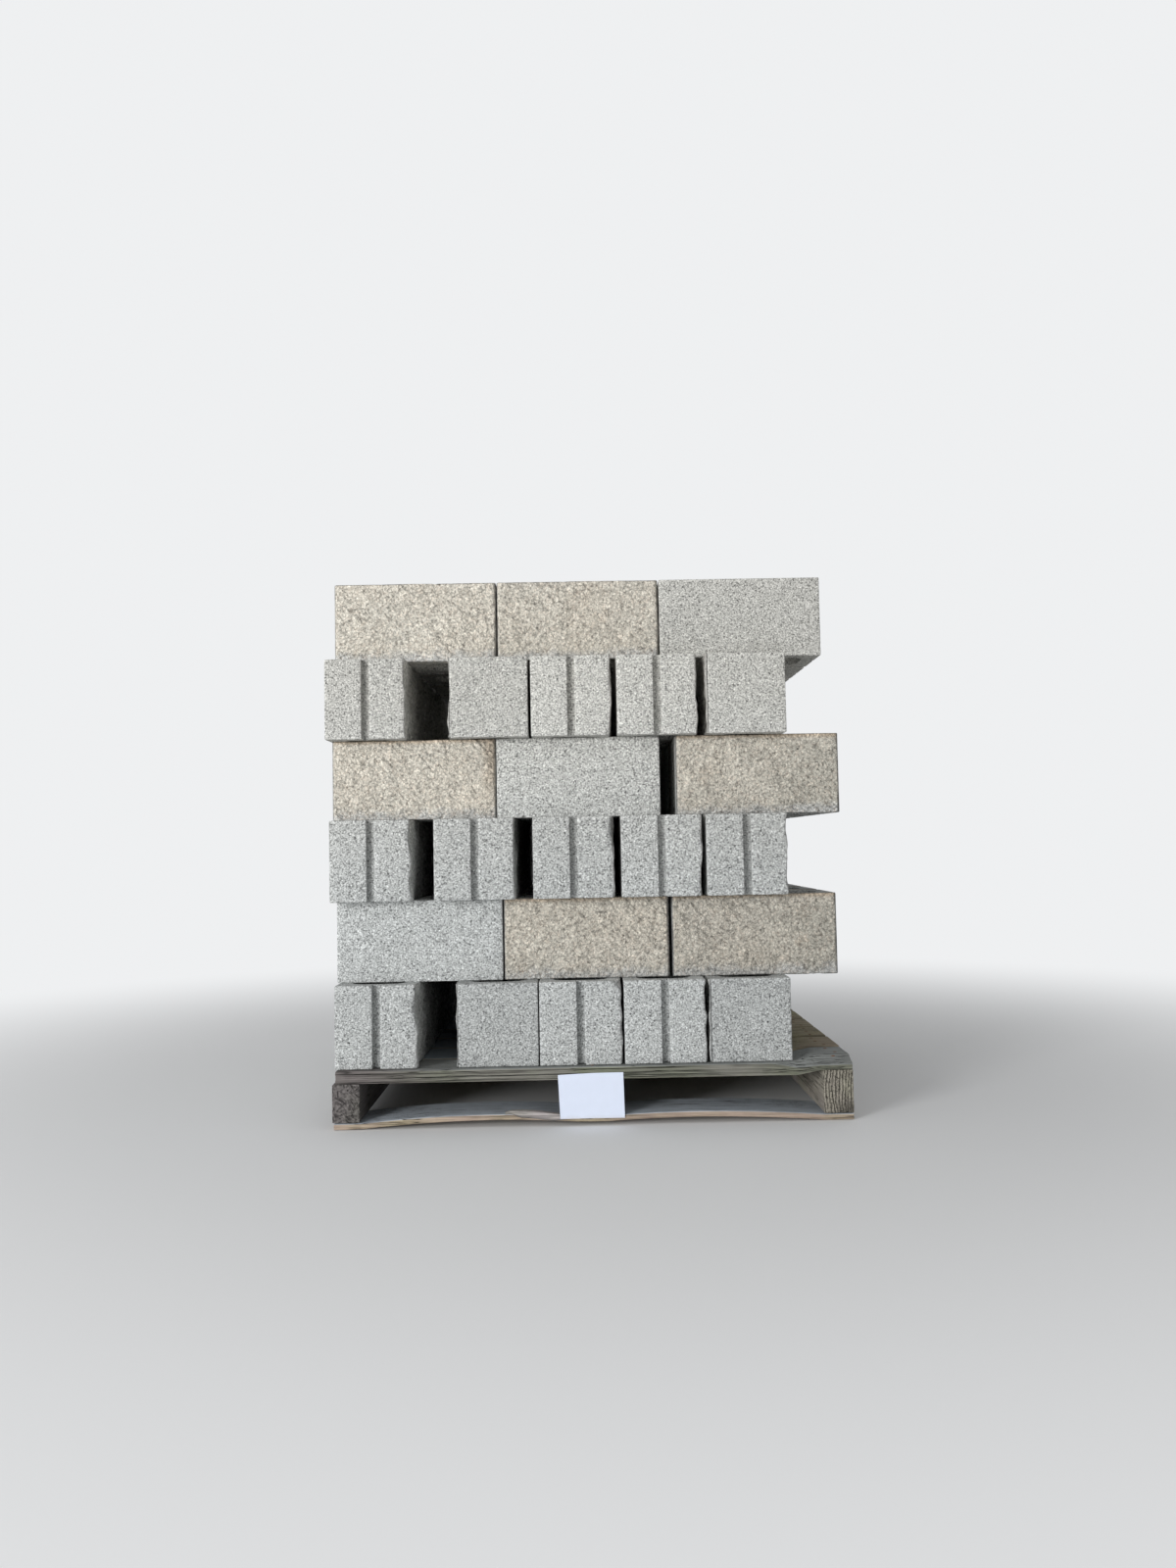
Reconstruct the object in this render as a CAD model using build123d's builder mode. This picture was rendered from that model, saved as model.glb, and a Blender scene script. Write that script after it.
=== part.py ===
from build123d import *
from math import atan2, tan
import os

# A full pallet load of two-core concrete blocks: six courses laid crosswise on a stringer pallet.
# Millimetres. X runs along the front, Y runs to the back, Z is up.
# The origin is the middle of the pallet's underside.

# Block
block_length = 397
block_width = 194
block_height = 194
shell = 33
end_web = 34
centre_web = 28
core_corner = 24
core_draft = 0.9
groove_width = 18.5
groove_depth = 16

# Pallet
pallet_length = 1219
pallet_width = 1219
bottom_board_thickness = 15
deck_board_thickness = 30
stringer_height = 89
right_stringer_height = 100
left_stringer_width = 64
middle_stringer_width = 64
right_stringer_width = 70
stringer_inset = 4
lead_board_width = 140
inner_board_count = 6
inner_board_gap = 14
middle_bottom_board_width = 140
front_board_lift = 7
left_bow = 11
right_bow = 9
bend_run = 55
bend_radius = 50

# Card fixed to the front of the pallet
card_width = 152
card_height = 102
card_thickness = 0.6
card_centre = -6
card_lap = 14

# Load
stack_front = -590
course_setback = 8
stretcher_setback = 55
row_gap = 24
column_gap = 3

# Left face of each block in the front of a course, from the bottom course up.
# In a course of ends the flag says whether the grooved end faces the front.
# In a course of stretchers it says whether the split face does.
ends_1 = ((-602, True), (-320, False), (-123, True), (76, True), (274, False))
stretchers_2 = ((-607, False), (-207, True), (198, True))
ends_3 = ((-615, True), (-368, True), (-133, True), (77, True), (280, True))
stretchers_4 = ((-619, True), (-220, False), (217, True))
ends_5 = ((-627, True), (-334, False), (-133, True), (74, True), (287, False))
stretchers_6 = ((-614, True), (-215, True), (185, False))

ends_deep = 3
stretchers_deep = 5
open_rows = 2

core_length = (block_length - 2 * end_web - centre_web) / 2
core_width = block_width - 2 * shell
core_pitch = core_length + centre_web

deck_underside = bottom_board_thickness + stringer_height
deck_top = deck_underside + deck_board_thickness
deck_rise = right_stringer_height - stringer_height
left_stringer_face = left_stringer_width + stringer_inset - pallet_length / 2
right_stringer_face = pallet_length / 2 - stringer_inset - right_stringer_width
bend_tangent = bend_radius * tan(atan2(deck_rise, bend_run) / 2)
bend_end = right_stringer_face - bend_tangent
bend_start = bend_end - bend_run


def hollow_block():
    """One block, long side on X, with its grooved end at +X and its split face at +Y."""
    with BuildPart() as block:
        with BuildSketch():
            Rectangle(block_length, block_width)
            with Locations((block_length / 2, 0)):
                Rectangle(2 * groove_depth, groove_width, mode=Mode.SUBTRACT)
        extrude(amount=block_height)
        with BuildSketch(Plane.XY.offset(block_height)) as mouths:
            with GridLocations(core_pitch, 0, 2, 1):
                Rectangle(core_length, core_width)
            chamfer(mouths.vertices(), core_corner)
        extrude(amount=-block_height, taper=core_draft, mode=Mode.SUBTRACT)
    return block.part


def ends_spots(course, front):
    """Where the blocks of a course of ends lie: each column runs from front to back."""
    base = deck_top + (course - 1) * block_height
    first = stack_front + (course - 1) * course_setback + block_length / 2
    spots = []
    for left, grooved in front:
        for row in range(ends_deep):
            y = first + row * (block_length + column_gap)
            turn = -90 if grooved else 90
            spots.append(Location((left + block_width / 2, y, base), (0, 0, turn)))
    return spots


def stretcher_spots(course, front, rows):
    """Where the blocks of a course of stretchers lie, for the rows asked for."""
    base = deck_top + (course - 1) * block_height
    first = stack_front + stretcher_setback + (course - 1) * course_setback + block_width / 2
    spots = []
    for row in rows:
        for left, split in front:
            y = first + row * (block_width + row_gap)
            turn = 180 if split else 0
            spots.append(Location((left + block_length / 2, y, base), (0, 0, turn)))
    return spots


def keep(piece, name):
    """Label a finished piece and write it to its own file."""
    piece.label = name
    export_step(piece, f"parts/{name}.step")


def lay_course(name, spots):
    """Set one block down at every spot and keep them together as one course."""
    with BuildPart() as course:
        with Locations(*spots):
            add(block)
    keep(course.part, name)


def stringer(name, left, width, height, notch=0):
    """A stringer that runs from front to back on the bottom boards. Its front foot may be notched."""
    foot = Plane.XY.offset(bottom_board_thickness)
    with BuildPart() as beam:
        with BuildSketch(foot):
            with Locations((left + width / 2, 0)):
                Rectangle(width, pallet_width)
        extrude(amount=height)
        if notch:
            with BuildSketch(foot):
                with Locations((left + width / 2, (lead_board_width - pallet_width) / 2)):
                    Rectangle(width, lead_board_width)
            extrude(amount=notch, mode=Mode.SUBTRACT)
    keep(beam.part, name)


def bottom_board(name, back, width, lift, bows):
    """A board under the stringers, which may rise to the middle one and bow up between them."""
    half = pallet_length / 2
    middle = middle_stringer_width / 2
    bays = (
        ((left_stringer_face, 0), (-middle, lift), bows[0]),
        ((middle, lift), (right_stringer_face, 0), bows[1]),
    )
    with BuildPart() as board:
        with BuildSketch(Plane.XZ.offset(-back)):
            with BuildLine():
                for level in (0, bottom_board_thickness):
                    start = (-half, level)
                    for (left, left_rise), (right, right_rise), bow in bays:
                        Line(start, (left, level + left_rise))
                        start = (right, level + right_rise)
                        if bow:
                            crown = ((left + right) / 2, level + (left_rise + right_rise) / 2 + bow)
                            ThreePointArc((left, level + left_rise), crown, start)
                        else:
                            Line((left, level + left_rise), start)
                    Line(start, (half, level))
                for end in (-half, half):
                    Line((end, 0), (end, bottom_board_thickness))
            make_face()
        extrude(amount=width)
    keep(board.part, name)


def deck_board(name, back, width):
    """A deck board whose right end is bent up over the taller right stringer."""
    half = pallet_length / 2
    levels = (deck_underside, deck_top)
    with BuildPart() as board:
        with BuildSketch(Plane.XZ.offset(-back)):
            with BuildLine():
                edges = []
                for level in levels:
                    edges.append(FilletPolyline(
                        (-half, level),
                        (bend_start, level),
                        (bend_end, level + deck_rise),
                        (half, level + deck_rise),
                        radius=bend_radius,
                    ))
                Line(edges[0] @ 0, edges[1] @ 0)
                Line(edges[0] @ 1, edges[1] @ 1)
            make_face()
        extrude(amount=width)
    keep(board.part, name)


def label_card():
    """A bare card that hangs from the front edge of the first deck board."""
    top = deck_underside + card_lap
    with BuildPart() as card:
        with BuildSketch(Plane.XZ.offset(pallet_width / 2)):
            with Locations((card_centre, top - card_height / 2)):
                Rectangle(card_width, card_height)
        extrude(amount=card_thickness)
    keep(card.part, "label_card")


os.makedirs("parts", exist_ok=True)
block = hollow_block()

lay_course("course_1_blocks", ends_spots(1, ends_1))
lay_course("course_2_blocks", stretcher_spots(2, stretchers_2, range(stretchers_deep)))
lay_course("course_3_blocks", ends_spots(3, ends_3))
lay_course("course_4_blocks", stretcher_spots(4, stretchers_4, range(stretchers_deep)))
lay_course("course_5_blocks", ends_spots(5, ends_5))
lay_course("course_6_front_blocks", stretcher_spots(6, stretchers_6, range(open_rows)))
lay_course("course_6_back_blocks", stretcher_spots(6, stretchers_6, range(open_rows, stretchers_deep)))

outer_face = pallet_length / 2 - stringer_inset
stringer("stringer_left", -outer_face, left_stringer_width, stringer_height)
middle_face = -middle_stringer_width / 2
stringer("stringer_middle", middle_face, middle_stringer_width, stringer_height, front_board_lift)
stringer("stringer_right", right_stringer_face, right_stringer_width, right_stringer_height)

deck_back = pallet_width / 2
bows = (left_bow, right_bow)
flat = (0, 0)
bottom_board("bottom_board_front", -deck_back + lead_board_width, lead_board_width, front_board_lift, bows)
bottom_board("bottom_board_middle", middle_bottom_board_width / 2, middle_bottom_board_width, 0, flat)
bottom_board("bottom_board_back", deck_back, lead_board_width, 0, flat)

inner_run = pallet_width - 2 * lead_board_width
inner_board_width = (inner_run - (inner_board_count + 1) * inner_board_gap) / inner_board_count
deck_board("deck_board_1", -deck_back + lead_board_width, lead_board_width)
for inner in range(inner_board_count):
    near = -deck_back + lead_board_width + inner_board_gap + inner * (inner_board_width + inner_board_gap)
    deck_board(f"deck_board_{inner + 2}", near + inner_board_width, inner_board_width)
deck_board(f"deck_board_{inner_board_count + 2}", deck_back, lead_board_width)

label_card()
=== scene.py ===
import math

import bmesh
import bpy
import numpy as np
from bpy.props import FloatProperty, FloatVectorProperty, IntProperty, PointerProperty
from mathutils import Matrix, Vector, noise


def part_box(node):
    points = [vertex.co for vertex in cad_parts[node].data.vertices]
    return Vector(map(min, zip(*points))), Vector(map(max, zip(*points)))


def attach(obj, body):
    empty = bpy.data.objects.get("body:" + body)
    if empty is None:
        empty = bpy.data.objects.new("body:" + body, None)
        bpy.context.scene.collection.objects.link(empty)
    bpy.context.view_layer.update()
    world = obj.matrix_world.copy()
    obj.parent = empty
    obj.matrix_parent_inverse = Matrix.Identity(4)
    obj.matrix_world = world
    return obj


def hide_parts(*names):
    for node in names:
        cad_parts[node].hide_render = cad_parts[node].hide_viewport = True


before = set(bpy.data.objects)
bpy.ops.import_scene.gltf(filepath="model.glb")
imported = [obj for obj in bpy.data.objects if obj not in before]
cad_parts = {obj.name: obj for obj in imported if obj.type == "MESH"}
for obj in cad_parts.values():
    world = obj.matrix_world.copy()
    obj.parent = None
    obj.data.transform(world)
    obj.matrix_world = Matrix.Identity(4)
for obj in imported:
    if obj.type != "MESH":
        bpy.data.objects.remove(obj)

# A pallet load of weathered two-core concrete blocks, six courses laid crosswise, with a bare card.
# Metres. X runs along the front, Y runs to the back, Z is up.

bl_info = {
    "name": "Pallet of Concrete Blocks",
    "version": (1, 0, 0),
    "blender": (4, 5, 0),
    "location": "3D View > Sidebar > Block Pallet",
    "description": "Gives a stacked pallet of concrete blocks its weathered surfaces",
    "category": "Object",
}

BODY = "root"
MERGE = 1e-5
COURSES = sorted(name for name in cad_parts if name.startswith("course_"))
DECK_BOARDS = sorted(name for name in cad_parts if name.startswith("deck_board_"))
LEAD_BOARD = DECK_BOARDS[0]
DECK_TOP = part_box("course_1_blocks")[0].z
COURSE_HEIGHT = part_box("course_2_blocks")[0].z - DECK_TOP


def length_setting(name, description, default):
    """A length that a user may change."""
    return FloatProperty(name=name, description=description, default=default, unit="LENGTH")


def colour_setting(name, description, default):
    """A colour that a user may change."""
    return FloatVectorProperty(name=name, description=description, default=default, subtype="COLOR")


class BlockSettings(bpy.types.PropertyGroup):
    """Sizes and colours of the concrete blocks."""

    end_web: length_setting("End web", "Concrete between a core and the block's end", 0.034)
    centre_web: length_setting("Centre web", "Concrete between the two cores", 0.028)
    shell: length_setting("Shell", "Concrete between a core and the block's long face", 0.033)
    core_round: length_setting("Core rounding", "Radius of a core's upright corners", 0.034)
    core_draft: FloatProperty(
        name="Core draft", description="Slope of the core walls",
        default=math.radians(0.9), subtype="ANGLE")
    groove_width: length_setting("Groove width", "Width of the groove down one end", 0.0185)
    groove_depth: length_setting("Groove depth", "Depth of the groove down one end", 0.016)
    split_round: length_setting("Split arris", "Radius of the two upright arrises of the split face", 0.007)
    relief: length_setting("Split relief", "Depth of the waves on the split face", 0.0110)
    grit: length_setting("Split grit", "Depth of the small lumps on the split face", 0.0011)
    chip: length_setting("Arris chips", "How deep the chips along the arrises go", 0.0022)
    corner_chip: length_setting("Corner chip", "How deep the one broken corner is", 0.016)
    # Painted shade: the groove is painted darker towards its bottom, where shade falls in the narrow slot.
    groove_painted_shade: FloatProperty(
        name="Painted groove shade", description="How much darker the bottom of the groove is",
        default=0.13, subtype="FACTOR")
    smooth_colour: colour_setting(
        "Moulded face", "Cement colour of the moulded faces low in the load", (0.465, 0.48, 0.475))
    high_colour: colour_setting(
        "High moulded face", "Cement colour of the moulded faces high in the load", (0.485, 0.48, 0.45))
    split_colour: colour_setting("Split face", "Colour of the split faces", (0.53, 0.505, 0.445))
    washed_colour: colour_setting(
        "Washed face", "Colour of the split faces where rain reaches them", (0.445, 0.425, 0.37))
    stain_colour: colour_setting("Stain", "Brown stain at the edge of one split face", (0.36, 0.30, 0.23))
    seed: IntProperty(
        name="Seed", description="Chooses the tone of each block", default=54797)


class WoodSettings(bpy.types.PropertyGroup):
    """Sizes and colours of the pallet's timber and its nails."""

    rounding: length_setting("Worn arris", "Radius worn on the boards' arrises", 0.003)
    fibre: length_setting("Raised grain", "Depth of the weathered grain", 0.0007)
    crack: length_setting("Drying cracks", "Depth of the cracks in the lead board's edge", 0.0014)
    wane: length_setting("Wane", "Height lost from the front arris at the lead board's right end", 0.019)
    ridge_pitch: length_setting(
        "Ring ridge pitch", "Spacing of the ridges on the right stringer's end", 0.0072)
    lead_colour: colour_setting(
        "Lead board", "Weathered grey green of the lead board's edge", (0.168, 0.164, 0.142))
    lead_top_colour: colour_setting(
        "Lead board's top", "Blue grey of the lead board's top", (0.240, 0.252, 0.244))
    deck_colour: colour_setting("Deck boards", "Colour of the other deck boards", (0.27, 0.225, 0.165))
    # Painted shade: the blue grey that the deck boards' tops take under the load, while the open part beyond
    # keeps the lit tan.
    deck_top_shade_colour: colour_setting(
        "Deck's shaded top", "Painted blue grey shade on the deck boards' upper faces under the load", (0.250, 0.290, 0.325))
    left_colour: colour_setting("Left stringer", "Brown grey of the left stringer", (0.130, 0.118, 0.116))
    right_colour: colour_setting("Right stringer", "Grey of the right stringer", (0.27, 0.24, 0.215))
    brown_colour: colour_setting(
        "Damp end", "Brown grey of the lead board's left end", (0.150, 0.135, 0.130))
    bottom_colour: colour_setting("Bottom boards", "Tan of the bottom boards' edges", (0.38, 0.297, 0.237))
    # Weathered grey tops, with a painted blue of skylit shade.
    bottom_top_grey_and_shade_blue: colour_setting(
        "Bottom boards' top", "Grey of the bottom boards' upper faces, with a painted blue of skylit shade", (0.410, 0.450, 0.495))
    splinter_colour: colour_setting(
        "Splinter", "Grey of the splinter on the front bottom board", (0.38, 0.345, 0.345))
    nail_head: length_setting("Nail head", "Diameter of a nail's head", 0.0085)
    nail_inset: length_setting("Nail inset", "Distance of the outer nails from a board's long edges", 0.022)
    rust_colour: colour_setting("Rust", "Colour of the nail heads", (0.11, 0.055, 0.03))


class CardSettings(bpy.types.PropertyGroup):
    """The bare card on the front of the pallet."""

    curl: length_setting("Curl", "How far the card's lower corners stand off", 0.0025)
    skew: length_setting("Skew", "How far the card leans to one side at its foot", 0.0045)
    # Painted light: the blue in the card's colour is a painted cast of skylight on the white card.
    colour: colour_setting("Card", "Colour of the card", (0.70, 0.76, 0.89))


class StageSettings(bpy.types.PropertyGroup):
    """Floor, lamps and camera."""

    floor_colour: colour_setting("Floor", "Colour of the floor", (0.81, 0.82, 0.83))
    backdrop_colour: colour_setting("Backdrop", "Colour behind the floor", (0.86, 0.87, 0.88))
    sky_strength: FloatProperty(
        name="Sky light", description="Strength of the light from all round", default=0.51)
    key_power: FloatProperty(
        name="Key light", description="Power of the soft lamp", default=438.0, unit="POWER")
    lens: FloatProperty(
        name="Lens", description="Focal length on the camera's sensor", default=27.0, unit="CAMERA")


class PalletSettings(bpy.types.PropertyGroup):
    """All settings of the pallet load."""

    blocks: PointerProperty(type=BlockSettings)
    wood: PointerProperty(type=WoodSettings)
    card: PointerProperty(type=CardSettings)
    stage: PointerProperty(type=StageSettings)


# Node trees

class Wire:
    """A node socket in an expression. Its operators add Math nodes."""

    def __init__(self, graph, socket):
        self.graph = graph
        self.socket = socket

    def __add__(self, other):
        return self.graph.math("ADD", self, other)

    def __radd__(self, other):
        return self.graph.math("ADD", other, self)

    def __sub__(self, other):
        return self.graph.math("SUBTRACT", self, other)

    def __rsub__(self, other):
        return self.graph.math("SUBTRACT", other, self)

    def __mul__(self, other):
        return self.graph.math("MULTIPLY", self, other)

    def __rmul__(self, other):
        return self.graph.math("MULTIPLY", other, self)

    def __truediv__(self, other):
        return self.graph.math("DIVIDE", self, other)

    def __abs__(self):
        return self.graph.math("ABSOLUTE", self)


class Graph:
    """A node tree in the making."""

    def __init__(self, tree):
        self.tree = tree

    def node(self, kind, settings=None, sockets=None, output=0):
        """Adds a node with its settings, then the values or links of its sockets."""
        made = self.tree.nodes.new(kind)
        for name, value in (settings or {}).items():
            setattr(made, name, value)
        for key, value in (sockets or {}).items():
            if isinstance(value, Wire):
                self.tree.links.new(value.socket, made.inputs[key])
            else:
                made.inputs[key].default_value = value
        return Wire(self, made.outputs[output]) if len(made.outputs) else made

    def math(self, operation, *values):
        """A Math node on numbers."""
        return self.node("ShaderNodeMath", {"operation": operation}, dict(enumerate(values)))

    def limit(self, value):
        """A number kept from 0 to 1."""
        return self.node("ShaderNodeClamp", {}, {0: value})

    def noise(self, where, scale, detail=3.0, roughness=0.55, distortion=0.0):
        """Smooth noise from 0 to 1 on a position."""
        return self.node("ShaderNodeTexNoise", {}, {
            "Vector": where, "Scale": scale, "Detail": detail, "Roughness": roughness,
            "Distortion": distortion})

    def cells(self, where, scale):
        """Three random numbers for each grain of a position, all the same over the grain."""
        return self.split_axes(self.grain(where, scale, "Color"))

    def grain(self, where, scale, output="Distance"):
        """The distance from the middle of the nearest grain, or that grain's colour."""
        return self.node("ShaderNodeTexVoronoi", {}, {"Vector": where, "Scale": scale}, output)

    def step(self, value, low, high):
        """0 below low and 1 above high, smooth in between. Low may be the larger."""
        settings = {"interpolation_type": "SMOOTHSTEP"}
        return self.node("ShaderNodeMapRange", settings, {0: value, 1: low, 2: high})

    def vector(self, operation, *values, output=0):
        """A Vector Math node on positions, directions or colours."""
        settings = {"operation": operation}
        return self.node("ShaderNodeVectorMath", settings, dict(enumerate(values)), output)

    def scaled(self, way, length):
        """A direction times a number."""
        return self.node("ShaderNodeVectorMath", {"operation": "SCALE"}, {0: way, "Scale": length})

    def split_axes(self, where):
        """The X, Y and Z of a position."""
        return [self.node("ShaderNodeSeparateXYZ", {}, {0: where}, axis) for axis in range(3)]

    def attribute(self, name):
        """A named number on a shaded surface."""
        return self.node("ShaderNodeAttribute", {"attribute_name": name}, {}, "Fac")

    def mix(self, share, first, second):
        """A colour between two others."""
        first, second = (value if isinstance(value, Wire) else opaque(value) for value in (first, second))
        return self.node("ShaderNodeMix", {"data_type": "RGBA"}, {0: share, 6: first, 7: second}, 2)

    def triple(self, x, y, z):
        """A position or a colour from three numbers."""
        return self.node("ShaderNodeCombineXYZ", {}, {0: x, 1: y, 2: z})

    def shade(self, colour, factor):
        """A colour times a number."""
        return self.vector("MULTIPLY", colour, self.triple(factor, factor, factor))


def opaque(colour):
    """A colour as red, green, blue and alpha."""
    return (*colour, 1.0)


def new_tree(name, result, inputs):
    """A Geometry Nodes tree in the making, and a wire from each of its named inputs."""
    tree = bpy.data.node_groups.new(name, "GeometryNodeTree")
    for title, kind in inputs.items():
        tree.interface.new_socket(title, in_out="INPUT", socket_type="NodeSocket" + kind)
    tree.interface.new_socket(result, in_out="OUTPUT", socket_type="NodeSocketGeometry")
    g = Graph(tree)
    entry = tree.nodes.new("NodeGroupInput")
    return g, {title: Wire(g, entry.outputs[title]) for title in inputs}


class Finish(Graph):
    """A material with one surface shader."""

    def __init__(self, name):
        self.material = bpy.data.materials.new(name)
        self.material.use_nodes = True
        super().__init__(self.material.node_tree)
        self.tree.nodes.clear()
        self.where = self.node("ShaderNodeTexCoord", {}, {}, "Object")

    def surface(self, colour, roughness, height=None, bump=0.5, metallic=None, specular=0.3):
        """Ends the tree in a shader with its colour, roughness and bump."""
        sockets = {"Base Color": colour, "Roughness": roughness, "Specular IOR Level": specular}
        if metallic is not None:
            sockets["Metallic"] = metallic
        if height is not None:
            bumps = {"Strength": bump, "Distance": 1.0, "Height": height}
            sockets["Normal"] = self.node("ShaderNodeBump", {}, bumps)
        shader = self.node("ShaderNodeBsdfPrincipled", {}, sockets)
        self.node("ShaderNodeOutputMaterial", {}, {"Surface": shader})
        return self.material


# Finishes

def concrete_finish(blocks):
    """Grey moulded faces and tan split faces, both full of fine stone."""
    stone_scale, sand_scale, pebble_scale, pit_scale, round_scale = 300.0, 560.0, 205.0, 150.0, 270.0
    shake_scale, shake_reach = 260.0, 0.0030
    # The last colour here is painted shade under a ledge.
    pale_cream, dusty_grey, ledge_shade_brown = (0.52, 0.48, 0.41), (0.41, 0.425, 0.43), (0.42, 0.31, 0.20)
    pink_stone, rust_tan = (0.53, 0.435, 0.355), (0.50, 0.36, 0.24)
    sheltered_from, sheltered_to = 5.0, 4.9
    stain_x, stain_reach, stain_low, stain_high = -0.222, 0.050, 3.0, 4.0

    f = Finish("weathered_block_concrete")
    x, y, z = f.split_axes(f.where)
    split, tan, arris, groove = (f.limit(f.attribute(name)) for name in ("split", "tan", "arris", "groove"))
    rise = (z - DECK_TOP) / COURSE_HEIGHT
    in_course = rise - f.math("FLOOR", rise)

    # Stones of each size, pits, and the swells of the split face
    jitter = f.node("ShaderNodeTexNoise", {}, {
        "Vector": f.where, "Scale": shake_scale, "Detail": 1.0}, "Color")
    shaken = f.vector("ADD", f.where, f.shade(f.vector("SUBTRACT", jitter, (0.5, 0.5, 0.5)), shake_reach))
    stone, sand, pebble = (f.cells(shaken, scale) for scale in (stone_scale, sand_scale, pebble_scale))
    pits = f.step(f.grain(shaken, pit_scale), 0.34, 0.16) * f.step(f.cells(shaken, pit_scale)[0], 0.60, 0.66)
    round_stone = 0.5 - f.grain(shaken, round_scale)
    round_pebble = 0.5 - f.grain(shaken, pit_scale)
    lumps = f.noise(f.where, 75.0, 4.0, 0.6)
    crags = f.noise(f.where, 30.0, 3.0, 0.5, 0.25)
    facets = abs(f.noise(f.where, 8.5, 2.0, 0.4) - 0.5)
    slanted = f.triple((x + z) * 42.0, y * 12.0, (x - z) * 11.0)
    ripples = (f.noise(slanted, 1.0, 2.0, 0.5, 0.3) - 0.5) * f.step(f.noise(f.where, 4.3, 1.0), 0.46, 0.58)

    # How light each spot is
    clouds = (f.noise(f.where, 22.0, 3.0) - 0.5) * 0.30 + (f.noise(f.where, 5.0, 2.0) - 0.5) * 0.20
    mottle = f.noise(f.where, 105.0, 2.0, 0.6) - 0.5
    white = f.step(stone[1], 0.86, 0.92) * 0.36
    black = f.step(stone[2], 0.88, 0.95) * 0.20
    split_white = f.step(pebble[1], 0.84, 0.92) * 0.26 + f.step(sand[2], 0.80, 0.90) * 0.26
    smooth_light = (1.0 + round_stone * 1.25 + (stone[0] - 0.5) * 0.32 + (sand[0] - 0.5) * 0.52
                    + white - black + mottle * 0.30 + clouds * 0.20 - pits * 0.28)
    # Painted shade and light: the lumps, crags and ripples that raise and sink the split face also make it
    # lighter on its swells and darker in its hollows.
    split_light = (0.99 + round_pebble * 0.90 + (pebble[0] - 0.5) * 0.30 + (sand[1] - 0.5) * 0.66
                   + (lumps - 0.5) * 0.62 + (crags - 0.5) * 0.20 + ripples * 0.15 + split_white - black * 0.6
                   + clouds * 0.38 - pits * 0.28)
    light = smooth_light + (split_light - smooth_light) * split

    # What colour it is: washed and dusty where rain reaches the split face, and painted brown shade under a
    # ledge
    grey = f.mix(f.step(rise, 1.5, 5.0), blocks.smooth_colour, blocks.high_colour)
    cream = f.mix(f.limit(f.noise(f.where, 7.0, 3.0) * 2.0 - 0.62), blocks.split_colour, pale_cream)
    edge_noise = f.noise(f.where, 24.0, 3.0) - 0.5
    sheltered = f.step(rise, sheltered_from, sheltered_to)
    open_end = f.step(x + edge_noise * 0.16, 0.40, 0.56) * sheltered
    skirt = f.step(in_course + edge_noise * 0.24, 0.17, 0.02)
    cream = f.mix(f.limit(open_end * f.step(in_course, 0.98, 0.80)), cream, blocks.washed_colour)
    cream = f.mix(skirt * 0.65, cream, dusty_grey)
    # Painted shade: a thin brown band along the top of each split face below the top course, under the course
    # above.
    ledge_painted_shade = f.step(in_course + edge_noise * 0.05, 0.93, 0.99) * sheltered
    cream = f.mix(ledge_painted_shade * 0.55, cream, ledge_shade_brown)
    stained = f.step(rise, stain_low, stain_low + 0.02) * f.step(rise, stain_high, stain_high - 0.02)
    stain_edge = f.step(x + edge_noise * 0.03, stain_x - stain_reach, stain_x - 0.004)
    stain_edge = stain_edge * f.step(x, stain_x + 0.002, stain_x)
    stain_edge = stain_edge * f.step(in_course + edge_noise * 0.3, 0.10, 0.75)
    cream = f.mix(stained * stain_edge * 0.75, cream, blocks.stain_colour)
    cream = f.mix(f.step(pebble[2], 0.74, 0.86) * 0.26, cream, pink_stone)
    rust_specks = f.step(f.noise(f.where, 9.0, 2.0), 0.60, 0.72) * f.step(sand[0], 0.55, 0.8)
    cream = f.mix(rust_specks * 0.35, cream, rust_tan)
    base = f.mix(split * tan, grey, cream)
    worn = 1.0 + arris * (f.noise(f.where, 90.0, 3.0) - 0.40) * 0.5
    # Painted shade: the groove is darkened towards its bottom.
    painted_shade = 1.0 - groove * blocks.groove_painted_shade
    # The tone carries painted light that rises towards the top of the load.
    colour = f.shade(f.shade(base, light * f.attribute("tone")), worn * painted_shade)

    height = (round_stone * 0.0009 + sand[0] * 0.0003 - pits * 0.0011
              + (lumps * 0.0066 + crags * 0.0110 + ripples * 0.0130 + facets * 0.0600
                 + round_pebble * 0.0022) * split)
    return f.surface(colour, 0.93, height, 1.0, specular=0.12)


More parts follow.
